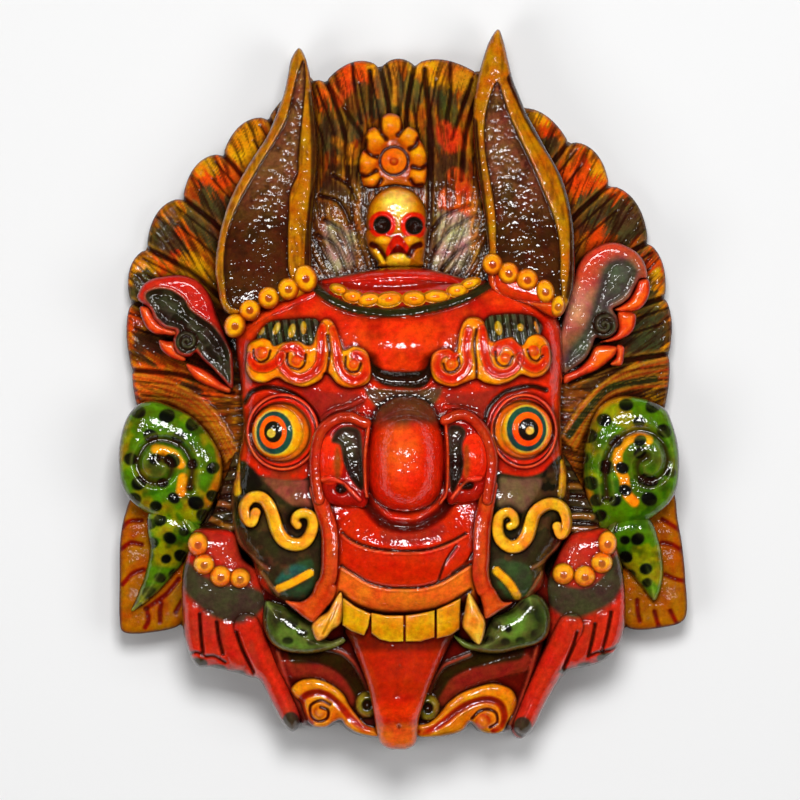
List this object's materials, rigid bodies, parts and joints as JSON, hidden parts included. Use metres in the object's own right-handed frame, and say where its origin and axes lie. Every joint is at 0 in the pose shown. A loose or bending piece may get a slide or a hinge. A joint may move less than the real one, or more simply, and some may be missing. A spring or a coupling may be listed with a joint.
{
  "type": "wooden mask",
  "caption": "Carved and painted wooden guardian mask with horns, a feather crest, ears, a small skull, and hands that hold a spotted snake across the mouth; hollow behind.",
  "frame": {"origin": "under the middle of the outline, on the surface that the back lies on", "axes": "+Z out of the face, +Y up the face towards the horns, +X to the viewer's right"},
  "size_m": [0.3416, 0.4325, 0.122],
  "materials": {
    "painted_wood": "gloss lacquer over hand-painted colours, with a dark wash in the recesses"
  },
  "bodies": {
    "root": {"mask": "painted_wood"}
  },
  "joints": []
}
